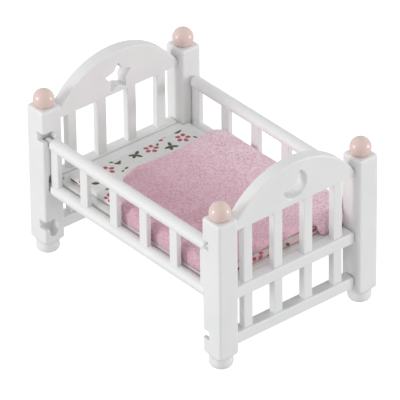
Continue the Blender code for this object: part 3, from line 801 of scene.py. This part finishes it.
def make_panel(name, cad_name, end, opening):
    """An arched top with its opening, two cross rails, and the slats between them."""
    x = end * PANEL_X
    low_x = x - PANEL_HALF_THICK
    high_x = x + PANEL_HALF_THICK
    panel = new_object(name, prism(arch_outline(), low_x, high_x))
    combine(panel, new_object("opening", prism(opening, low_x - REACH, high_x + REACH)), "DIFFERENCE")
    round_edges(panel, ARCH_ROUND)
    for level in (MID_RAIL_Z, LOW_RAIL_Z):
        corners = [
            (-PANEL_END_Y, level[0]), (PANEL_END_Y, level[0]),
            (PANEL_END_Y, level[1]), (-PANEL_END_Y, level[1]),
        ]
        outline = round_corners(corners, CROSS_RAIL_CORNER, steps=6)
        rail = new_object("rail", prism(outline, low_x, high_x))
        round_edges(rail, MOULD_ROUND)
        combine(panel, rail, "UNION")
    for i in range(PANEL_SLATS):
        y = (i - (PANEL_SLATS - 1) / 2) * SLAT_PITCH
        for low_z, high_z in ((LOW_RAIL_Z[1], MID_RAIL_Z[0]), (MID_RAIL_Z[1], ARCH_BOTTOM)):
            low = (x - SLAT_HALF_THICK, y - SLAT_WIDTH / 2, low_z - REACH)
            high = (x + SLAT_HALF_THICK, y + SLAT_WIDTH / 2, high_z + REACH)
            slat = new_object("slat", box(low, high))
            round_edges(slat, SLAT_ROUND)
            combine(panel, slat, "UNION")
    settle_normals(panel)
    install(panel, WHITE, [cad_name], "root")


# Side rails and pins


def make_rail(name, cad_name, side, body):
    """Two bars with their slats and pins. The near rail's low bar is bored for pins of their own."""
    y = side * RAIL_AXIS_Y
    rail = new_object(name, rod(-BAR_END_X, BAR_END_X, BAR_RADIUS, BAR_END_ROUND, y, TOP_BAR_Z))
    low_bar = new_object("bar", rod(-BAR_END_X, BAR_END_X, BAR_RADIUS, BAR_END_ROUND, y, LOW_BAR_Z))
    combine(rail, low_bar, "UNION")
    for i in range(RAIL_SLATS):
        x = (i - (RAIL_SLATS - 1) / 2) * RAIL_SLAT_PITCH
        low = (x - RAIL_SLAT_WIDTH / 2, y - RAIL_SLAT_HALF_THICK, LOW_BAR_Z + 0.5 * REACH)
        high = (x + RAIL_SLAT_WIDTH / 2, y + RAIL_SLAT_HALF_THICK, TOP_BAR_Z - 0.5 * REACH)
        slat = new_object("slat", box(low, high))
        round_edges(slat, RAIL_SLAT_ROUND)
        combine(rail, slat, "UNION")
    levels = (TOP_BAR_Z,) if side < 0 else (TOP_BAR_Z, LOW_BAR_Z)
    for end in (-1, 1):
        for z in levels:
            xs = sorted((end * (BAR_END_X - REACH), end * (BAR_END_X + PIN_REACH)))
            pin = new_object("pin", rod(*xs, PIN_RADIUS, PIN_ROUND, y, z, PIN_SEGMENTS))
            combine(rail, pin, "UNION")
        if side < 0:
            xs = sorted((end * (BAR_END_X - BORE_DEPTH), end * (BAR_END_X + REACH)))
            form = rod(*xs, PIN_RADIUS + BORE_GAP, BORE_ROUND, y, LOW_BAR_Z, PIN_SEGMENTS)
            combine(rail, new_object("bore", form), "DIFFERENCE")
    settle_normals(rail)
    install(rail, WHITE, [cad_name], body)


def make_pin(end):
    """A pin at the end of the near rail's low bar."""
    xs = sorted((end * (BAR_END_X - PIN_DEPTH), end * (BAR_END_X + PIN_REACH)))
    form = rod(*xs, PIN_RADIUS, PIN_ROUND, -RAIL_AXIS_Y, LOW_BAR_Z, PIN_SEGMENTS)
    pin = new_object(end_name(end) + "_pin", form)
    settle_normals(pin)
    install(pin, WHITE, ["rail_pin_" + end_name(end)], "rail_pivot")


# Bed base


def notched_outline(inset):
    """The base's outline: a rectangle whose corners are notched for the posts."""
    half_x = PANEL_X - PANEL_HALF_THICK - GAP - inset
    half_y = BASE_HIGH.y + BASE_SIDE_EXTRA - inset
    notch_x = POST_AXIS.x - POST_HALF_X - GAP - inset
    notch_y = POST_AXIS.y - POST_HALF_Y - GAP - inset
    corners = [
        (half_x, notch_y), (notch_x, notch_y), (notch_x, half_y),
        (-notch_x, half_y), (-notch_x, notch_y), (-half_x, notch_y),
        (-half_x, -notch_y), (-notch_x, -notch_y), (-notch_x, -half_y),
        (notch_x, -half_y), (notch_x, -notch_y), (half_x, -notch_y),
    ]
    return round_corners(corners, BASE_CORNER)


def make_base():
    """A plate with a skirt under its edge."""
    base = new_object("base", prism(notched_outline(0.0), BASE_LOW.z, BASE_HIGH.z, "Z"))
    hollow = prism(notched_outline(SKIRT_THICK), BASE_LOW.z - REACH, BASE_HIGH.z - PLATE_THICK, "Z")
    combine(base, new_object("hollow", hollow), "DIFFERENCE")
    round_edges(base, BASE_ROUND)
    settle_normals(base)
    install(base, WHITE, ["bed_base"], "root")


# Soft goods

SIM_SCALE = 20.0
SIM_FRAMES = 20
SIM_QUALITY = 6
CLOTH_VOXEL = 0.6 * MM
SWELL_CAP = 0.3 * MM
CONTACT_GAP = 0.02 * MM


def inflate(obj, pressure):
    """Swell a closed form with the cloth solver, at SIM_SCALE times its size.

    The voxel and the cap, which is the most that a point may move, are in real metres."""
    obj.data.transform(Matrix.Scale(SIM_SCALE, 4))
    remesh = obj.modifiers.new("remesh", "REMESH")
    remesh.mode = "VOXEL"
    remesh.voxel_size = CLOTH_VOXEL * SIM_SCALE
    apply_modifiers(obj)
    start = coordinates(obj)
    cloth = obj.modifiers.new("cloth", "CLOTH")
    cloth.settings.use_pressure = True
    cloth.settings.uniform_pressure_force = pressure
    cloth.settings.effector_weights.gravity = 0.0
    cloth.settings.quality = SIM_QUALITY
    cloth.point_cache.frame_start = 1
    cloth.point_cache.frame_end = SIM_FRAMES
    for step in range(1, SIM_FRAMES + 1):
        SCENE.frame_set(step)
    apply_modifiers(obj)
    SCENE.frame_set(1)
    moved = coordinates(obj) - start
    reach = np.linalg.norm(moved, axis=1, keepdims=True)
    most = SWELL_CAP * SIM_SCALE
    moved *= most * np.tanh(reach / most) / np.maximum(reach, 1e-9)
    set_coordinates(obj, start + moved)
    obj.data.transform(Matrix.Scale(1 / SIM_SCALE, 4))


def vertex_values(obj, name):
    found = np.zeros(len(obj.data.vertices) * 3)
    obj.data.vertices.foreach_get(name, found)
    return found.reshape(-1, 3)


def coordinates(obj):
    return vertex_values(obj, "co")


def normals(obj):
    return vertex_values(obj, "normal")


def set_coordinates(obj, points):
    obj.data.vertices.foreach_set("co", points.ravel())
    obj.data.update()


def relax(obj, factor, times):
    modifier = obj.modifiers.new("relax", "SMOOTH")
    modifier.factor = factor
    modifier.iterations = times
    apply_modifiers(obj)


def subdivide(obj):
    modifier = obj.modifiers.new("subdivide", "SUBSURF")
    modifier.levels = 1
    modifier.render_levels = 1
    apply_modifiers(obj)


def field(points, scale, seed, octaves=1):
    """Smooth noise between -1 and 1 at each point; the scale is its wavelength in metres."""
    shift = Vector((seed * 17.3, seed * 5.1, seed * 9.7))
    values = [noise.fractal(Vector(p) / scale + shift, 1.0, 2.0, octaves) for p in points]
    return np.clip(np.array(values), -1.0, 1.0)


def smooth_step(values, low, high):
    t = np.clip((values - low) / (high - low), 0.0, 1.0)
    return t * t * (3 - 2 * t)


def corner_outline(low, high, radius, steps=10):
    """A rectangle with rounded corners, counter-clockwise."""
    centres = [
        ((high[0] - radius, high[1] - radius), 0), ((low[0] + radius, high[1] - radius), 90),
        ((low[0] + radius, low[1] + radius), 180), ((high[0] - radius, low[1] + radius), 270),
    ]
    points = []
    for centre, start in centres:
        points += arc(centre, radius, start, start + 90, steps)
    return points


def add_cloth_place(obj):
    """The cloth's own coordinates in millimetres, unrolled over the mattress's sides."""
    points = coordinates(obj)
    facing = normals(obj)
    flat = np.hypot(facing[:, 0], facing[:, 1])
    drop = (points[:, 2].max() - points[:, 2]) * smooth_step(flat, 0.25, 0.8)
    ways = facing[:, :2] / np.maximum(flat, 1e-6)[:, None]
    place = np.zeros_like(points)
    place[:, :2] = (points[:, :2] + ways * drop[:, None]) / MM
    attribute = obj.data.attributes.new("cloth", "FLOAT_VECTOR", "POINT")
    attribute.data.foreach_set("vector", place.ravel())


# How far the mattress, before it swells, is inset from its CAD box at the low and the high corner
MATTRESS_LESS_LOW = Vector((0.15 * MM, 0.1 * MM, 0.0))
MATTRESS_LESS_HIGH = Vector((-0.4 * MM, 0.2 * MM, 0.3 * MM))
MATTRESS_CORNER = 2.6 * MM
MATTRESS_ROUND = 0.45 * MM
MATTRESS_PRESSURE = 4.0
RIM_WIDTH = 2.2 * MM
PUCKER_WAVE = 2.3 * MM
RIPPLE_WAVE = 9.0 * MM
PUCKER = 0.10 * MM
RIPPLE = 0.10 * MM

# Its near head corner is drawn out towards the headboard
HEAD_CORNER_X = (25.0 * MM, 33.0 * MM)
HEAD_CORNER_Y = (10.0 * MM, 20.0 * MM)
HEAD_CORNER_REACH = 3.5 * MM


def make_mattress():
    """A cotton cover filled by its pad: flat below, a little crowned above, puckered at its rim."""
    low = MATTRESS_LOW + MATTRESS_LESS_LOW
    high = MATTRESS_HIGH - MATTRESS_LESS_HIGH
    outline = corner_outline(low, high, MATTRESS_CORNER)
    mattress = new_object("mattress", prism(outline, low.z, high.z, "Z"))
    round_edges(mattress, MATTRESS_ROUND)
    inflate(mattress, MATTRESS_PRESSURE)
    relax(mattress, factor=0.4, times=2)
    subdivide(mattress)
    points = coordinates(mattress)
    x, y = points[:, 0], points[:, 1]
    inner = np.minimum.reduce([x - low.x, high.x - x, y - low.y, high.y - y])
    rim = np.exp(-((inner / RIM_WIDTH) ** 2))
    pucker = field(points, PUCKER_WAVE, seed=3) * PUCKER * rim
    ripple = field(points, RIPPLE_WAVE, seed=5) * RIPPLE
    points = points + normals(mattress) * (pucker + ripple)[:, None]
    corner = smooth_step(-points[:, 1], *HEAD_CORNER_Y) * smooth_step(-points[:, 0], *HEAD_CORNER_X)
    points[:, 0] -= HEAD_CORNER_REACH * corner
    points[:, 2] = np.clip(points[:, 2], BASE_HIGH.z + CONTACT_GAP, MATTRESS_HIGH.z + CONTACT_GAP)
    set_coordinates(mattress, points)
    shade(mattress, CLOTH_SMOOTH_ANGLE)
    add_cloth_place(mattress)
    install(mattress, COTTON, ["mattress_cover", "mattress_pad"], "mattress")


# The blanket as laid: its faces and edges before it settles
FAR_TUCK = 1.6 * MM
BLANKET_BOTTOM = MATTRESS_HIGH.z + GAP
BLANKET_TOP = BLANKET_HIGH.z - 0.25 * MM
BLANKET_FOOT_X = BLANKET_HIGH.x - 0.15 * MM
BLANKET_NEAR_Y = BLANKET_LOW.y + 0.05 * MM
BLANKET_FAR_Y = BLANKET_HIGH.y + FAR_TUCK
BLANKET_CORNER = 4.0 * MM
BLANKET_ROUND = 1.4 * MM
BLANKET_PRESSURE = 3.0
HEAD_EDGE = [
    (-17.0, 26.4), (-20.9, 25.3), (-22.7, 22.6), (-22.3, 18.5), (-21.5, 14.0), (-21.0, 8.5), (-21.1, 2.0),
    (-21.4, -3.0), (-21.8, -7.0), (-21.3, -10.5), (-19.2, -15.2), (-14.0, -20.2), (-8.6, -25.1),
]

# The drape that hangs at the near side
DRAPE_X = (-7.6 * MM, 32.6 * MM)
LAID_FROM_Y = BLANKET_NEAR_Y + 1.5 * MM
DRAPE_Y = (BLANKET_NEAR_Y - 0.6 * MM, LAID_FROM_Y)
DRAPE_Z = (BLANKET_LOW.z - 0.15 * MM, BLANKET_BOTTOM + 1.5 * MM)
DRAPE_ROUND = 0.4 * MM
DRAPE_LIFT_X = (20.0 * MM, 30.0 * MM)
HEM_HEIGHT = 2.4 * MM
HEM_FALL = 0.75 * MM
HEM_BELOW_BASE = 0.7 * MM
BASE_EDGE_Y = BASE_LOW.y - 0.05 * MM

# How far the finished blanket may reach to each side
NEAR_LIMIT_Y = BLANKET_LOW.y - 0.6 * MM
FAR_LIMIT_Y = BLANKET_FAR_Y + 0.1 * MM

# The foot edge: it closes on the mattress's rim, and has slipped off it at the far corner
FOLD_X = (33.2 * MM, 35.0 * MM)
FOLD_REACH = 2.2 * MM
SLIP_Y = (12.8 * MM, 15.6 * MM)
FALL_X = (MATTRESS_HIGH.x + 0.2 * MM, MATTRESS_HIGH.x + 0.7 * MM)
TOP_FALL = 0.7 * MM
UNDER_FALL = 1.0 * MM
RIM_X = (MATTRESS_HIGH.x - 0.6 * MM, MATTRESS_HIGH.x + 0.1 * MM)
RIM_FALL = 0.75 * MM

# The far edge, and the raised far foot corner
DROOP_Y = (MATTRESS_HIGH.y + 0.3 * MM, MATTRESS_HIGH.y + 1.3 * MM)
DROOP_GAP = 0.6 * MM
LAID_GAP = 0.4 * MM
RAISED_X = (16.0 * MM, 27.0 * MM)
RAISED_Y = (14.0 * MM, 24.0 * MM)
RAISE = 1.3 * MM
TOP_SLACK = 0.1 * MM

# Swells of the cloth's upper side, and its pile
ABOVE_Z = (BLANKET_BOTTOM, BLANKET_BOTTOM + 1.2 * MM)
FOOT_END_X = (18.0 * MM, 32.0 * MM)
LONG_WAVE = 14.0 * MM
SHORT_WAVE = 6.0 * MM
PILE_WAVE = 0.7 * MM
LONG_SWELL = 0.28 * MM
SHORT_SWELL = 0.40 * MM
PILE = 0.15 * MM


def blanket_outline():
    """Straight at the foot and the sides. The head edge wanders, and its near corner, where the cloth is
    turned under, is cut back on a slant.
    """
    foot = BLANKET_FOOT_X - BLANKET_CORNER
    outline = arc((foot, BLANKET_NEAR_Y + BLANKET_CORNER), BLANKET_CORNER, 270, 360, 10)
    outline += arc((foot, BLANKET_FAR_Y - BLANKET_CORNER), BLANKET_CORNER, 0, 90, 10)
    return outline + [(x * MM, y * MM) for x, y in HEAD_EDGE]


def level_in_blanket(points):
    """0 at the underside of the laid blanket and below it, 1 at its top and above it."""
    return np.clip((points[:, 2] - BLANKET_BOTTOM) / (BLANKET_TOP - BLANKET_BOTTOM), 0.0, 1.0)


def settle_foot_edge(points):
    """The foot edge closes on the mattress's rim, so that no gap shows under it."""
    rim = smooth_step(points[:, 0], *RIM_X)
    points[:, 2] -= RIM_FALL * rim * (1.0 - level_in_blanket(points)) ** 2


def droop_far_edge(points):
    """Past the mattress, the far edge droops beside the rail."""
    beyond = smooth_step(points[:, 1], *DROOP_Y)
    fall = BLANKET_BOTTOM - BASE_HIGH.z - DROOP_GAP
    points[:, 2] -= fall * beyond * (1.0 - level_in_blanket(points)) ** 1.5


def sag_foot_end(points):
    """At its far end, the foot edge has slipped off the mattress and hangs down to the base."""
    beyond = np.clip((points[:, 0] - FOLD_X[0]) / (FOLD_X[1] - FOLD_X[0]), 0.0, 1.0)
    level = level_in_blanket(points)
    slip = smooth_step(points[:, 1], *SLIP_Y)
    points[:, 0] += FOLD_REACH * slip * beyond
    fallen = slip * smooth_step(points[:, 0], *FALL_X)
    points[:, 2] -= (BLANKET_BOTTOM - BLANKET_LOW.z) * fallen * (1.0 - level**4)
    points[:, 2] -= (TOP_FALL * level + UNDER_FALL * (1.0 - level)) * fallen


def raise_far_corner(points, above):
    """The cloth stands higher at the far foot corner."""
    corner = smooth_step(points[:, 0], *RAISED_X) * smooth_step(points[:, 1], *RAISED_Y)
    points[:, 2] = np.minimum(points[:, 2], BLANKET_HIGH.z + TOP_SLACK) + RAISE * corner * above


def shape_hanging(points):
    """The hem of the drape comes down to the base, and less so towards the foot."""
    hangs = points[:, 1] <= LAID_FROM_Y
    lifted = smooth_step(points[:, 0], *DRAPE_LIFT_X)
    hem = np.clip((BASE_HIGH.z + HEM_HEIGHT - points[:, 2]) / HEM_HEIGHT, 0.0, 1.0)
    points[hangs, 2] -= (HEM_FALL * (1.0 - lifted) * hem)[hangs]
    over_base = points[:, 1] > BASE_EDGE_Y
    lowest = np.where(over_base, BASE_HIGH.z + CONTACT_GAP, BASE_HIGH.z - HEM_BELOW_BASE)
    points[hangs, 2] = np.maximum(points[hangs, 2], lowest[hangs])


def blanket_form():
    """The laid sheet and the drape at its near side, in one."""
    blanket = new_object("blanket_fleece", prism(blanket_outline(), BLANKET_BOTTOM, BLANKET_TOP, "Z"))
    round_edges(blanket, BLANKET_ROUND, segments=5)
    drape = new_object("drape", box(*zip(DRAPE_X, DRAPE_Y, DRAPE_Z)))
    round_edges(drape, DRAPE_ROUND, segments=2)
    combine(blanket, drape, "UNION")
    return blanket


def make_blanket():
    """Thick fleece laid on the mattress. Its near edge hangs down to the base."""
    blanket = blanket_form()
    inflate(blanket, BLANKET_PRESSURE)
    relax(blanket, factor=0.5, times=6)
    subdivide(blanket)
    points = coordinates(blanket)
    above = smooth_step(points[:, 2], *ABOVE_Z)
    foot_end = smooth_step(points[:, 0], *FOOT_END_X)
    swell = field(points, LONG_WAVE, seed=11) * LONG_SWELL * above
    swell += field(points, SHORT_WAVE, seed=31) * SHORT_SWELL * above * foot_end
    pile = field(points, PILE_WAVE, seed=23, octaves=2) * PILE
    points = points + normals(blanket) * (swell + pile)[:, None]
    under = (points[:, 1] > LAID_FROM_Y) & (points[:, 2] < BLANKET_BOTTOM)
    points[under, 2] = BLANKET_BOTTOM
    settle_foot_edge(points)
    droop_far_edge(points)
    sag_foot_end(points)
    laid = points[:, 1] > LAID_FROM_Y
    points[laid, 2] = np.maximum(points[laid, 2], BASE_HIGH.z + LAID_GAP)
    raise_far_corner(points, above)
    shape_hanging(points)
    points[:, 1] = np.clip(points[:, 1], NEAR_LIMIT_Y, FAR_LIMIT_Y)
    set_coordinates(blanket, points)
    shade(blanket, CLOTH_SMOOTH_ANGLE)
    install(blanket, FLEECE, ["blanket"], "blanket")


# Stage, light and camera. Angles are in degrees, the lens and sensor in millimetres, powers in watts.

AZIMUTH = 50.50
ELEVATION = 33.04
ROLL = -0.66
DISTANCE = 1.6497
TARGET = Vector((-0.00082, 0.0, 0.02557))
LENS = 494.8
SENSOR = 36.0

SKY_STRENGTH = 0.733
LEFT_POWER = 2.70
RIGHT_POWER = 3.16
LAMP_DISTANCE = 0.9
LAMP_SIZE = 0.26
FLOOR_HALF = 6.0
FLOOR_SEEN = 0.92
FLOOR_BOUNCE = 0.296


def view_axes():
    """Right, up and back directions of the camera, before it is rolled."""
    a, e = math.radians(AZIMUTH), math.radians(ELEVATION)
    back = Vector((math.sin(a) * math.cos(e), -math.cos(a) * math.cos(e), math.sin(e)))
    right = Vector((math.cos(a), math.sin(a), 0.0))
    return right, back.cross(right), back


def make_camera():
    right, up, back = view_axes()
    turn = math.radians(ROLL)
    turned_right = right * math.cos(turn) + up * math.sin(turn)
    turned_up = up * math.cos(turn) - right * math.sin(turn)
    data = bpy.data.cameras.new("camera")
    data.lens = LENS
    data.sensor_width = SENSOR
    data.clip_start = 0.05
    data.clip_end = 50.0
    camera = bpy.data.objects.new("camera", data)
    SCENE.collection.objects.link(camera)
    basis = Matrix((turned_right, turned_up, back)).transposed()
    camera.matrix_world = Matrix.Translation(TARGET + back * DISTANCE) @ basis.to_4x4()
    SCENE.camera = camera


def add_softbox(name, toward, power):
    """A square lamp in a direction from the cot, facing it."""
    data = bpy.data.lights.new(name, "AREA")
    data.shape = "SQUARE"
    data.size = LAMP_SIZE
    data.energy = power
    lamp = bpy.data.objects.new(name, data)
    SCENE.collection.objects.link(lamp)
    way = toward.normalized()
    lamp.location = TARGET + way * LAMP_DISTANCE
    lamp.rotation_mode = "QUATERNION"
    lamp.rotation_quaternion = way.to_track_quat("Z", "Y")


def make_stage():
    """The floor, an even pale sky, and a softbox on each side."""
    bm = bmesh.new()
    bmesh.ops.create_grid(bm, x_segments=1, y_segments=1, size=FLOOR_HALF)
    floor = new_object("floor", bm)
    floor.data.materials.append(pale_floor())
    world = bpy.data.worlds.new("studio")
    world.use_nodes = True
    sky = world.node_tree.nodes["Background"]
    sky.inputs["Color"].default_value = (0.985, 0.993, 1.0, 1.0)
    sky.inputs["Strength"].default_value = SKY_STRENGTH
    SCENE.world = world
    right, _, back = view_axes()
    add_softbox("left_softbox", back * 0.345 - right * 0.935, LEFT_POWER)
    add_softbox("right_softbox", right * 0.993 + back * 0.066, RIGHT_POWER)
    SCENE.view_settings.view_transform = "Standard"


def main():
    make_camera()
    make_stage()
    for end in (-1, 1):
        for side in (-1, 1):
            make_post(end, side)
            make_knob(end, side)
        make_pin(end)
    make_panel("headboard", "headboard_panel", -1, star_outline())
    make_panel("footboard", "footboard_panel", 1, moon_outline())
    make_rail("near_rail", "near_side_rail", -1, "near_rail")
    make_rail("far_rail", "far_side_rail", 1, "root")
    make_base()
    make_mattress()
    make_blanket()


main()
